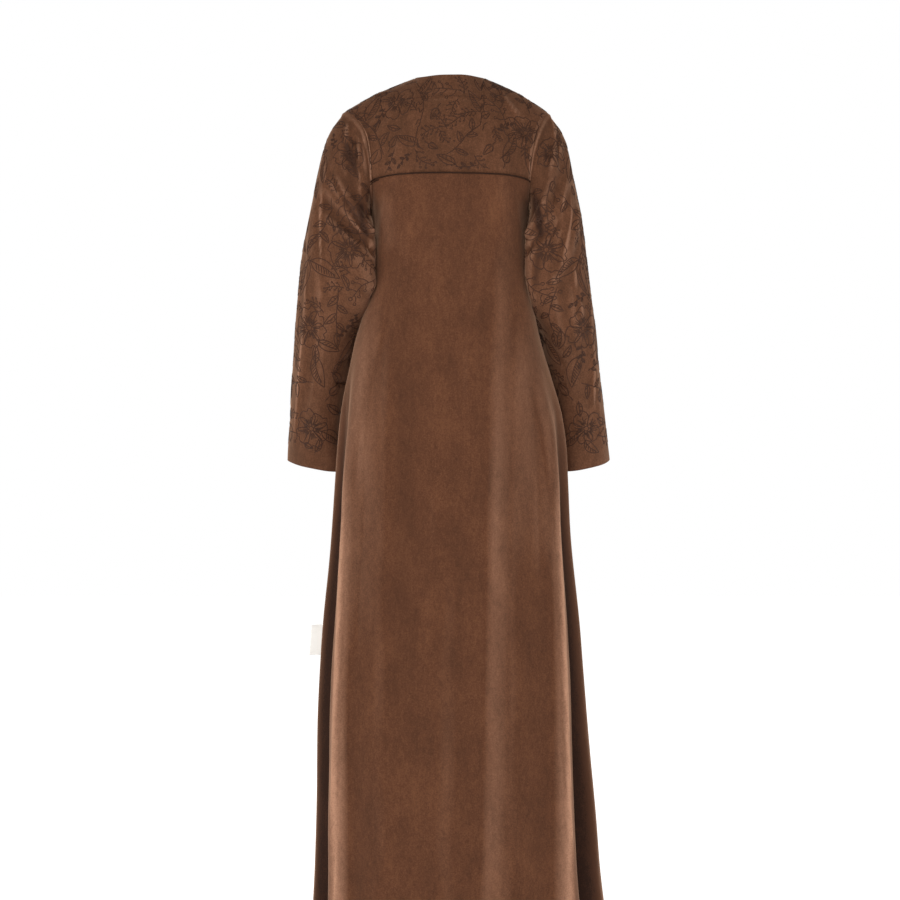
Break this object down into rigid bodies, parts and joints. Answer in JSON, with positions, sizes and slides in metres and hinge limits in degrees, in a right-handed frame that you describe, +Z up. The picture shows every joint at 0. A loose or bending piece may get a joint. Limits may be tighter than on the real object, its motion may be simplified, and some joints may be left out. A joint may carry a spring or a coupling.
{
  "type": "abaya",
  "caption": "Floor-length loose robe in brushed suede-like cloth, worn hollow form with long open sleeves bent forward, embroidered yoke and sleeves, plain flared back and lapped fronts.",
  "frame": {"origin": "middle of the neck opening, level with the inner ends of the shoulder seams, where the wearer's shoulders hold the garment", "axes": "+Z up towards the neck, +Y out of the back of the garment, +X to the wearer's left"},
  "size_m": [0.5946, 0.3956, 1.5171],
  "materials": {
    "suede": "brushed suede-like nap",
    "embroidered_suede": "brushed suede-like nap with tone-on-tone embroidery",
    "piping": "dull dark cord",
    "tape": "smooth woven tape"
  },
  "bodies": {
    "root": {"back_panel": "suede", "back_yoke": "embroidered_suede", "yoke_piping": "piping", "front_left": "suede", "front_right": "suede", "sleeve_left": "embroidered_suede", "sleeve_right": "embroidered_suede", "side_label": "tape"}
  },
  "joints": []
}
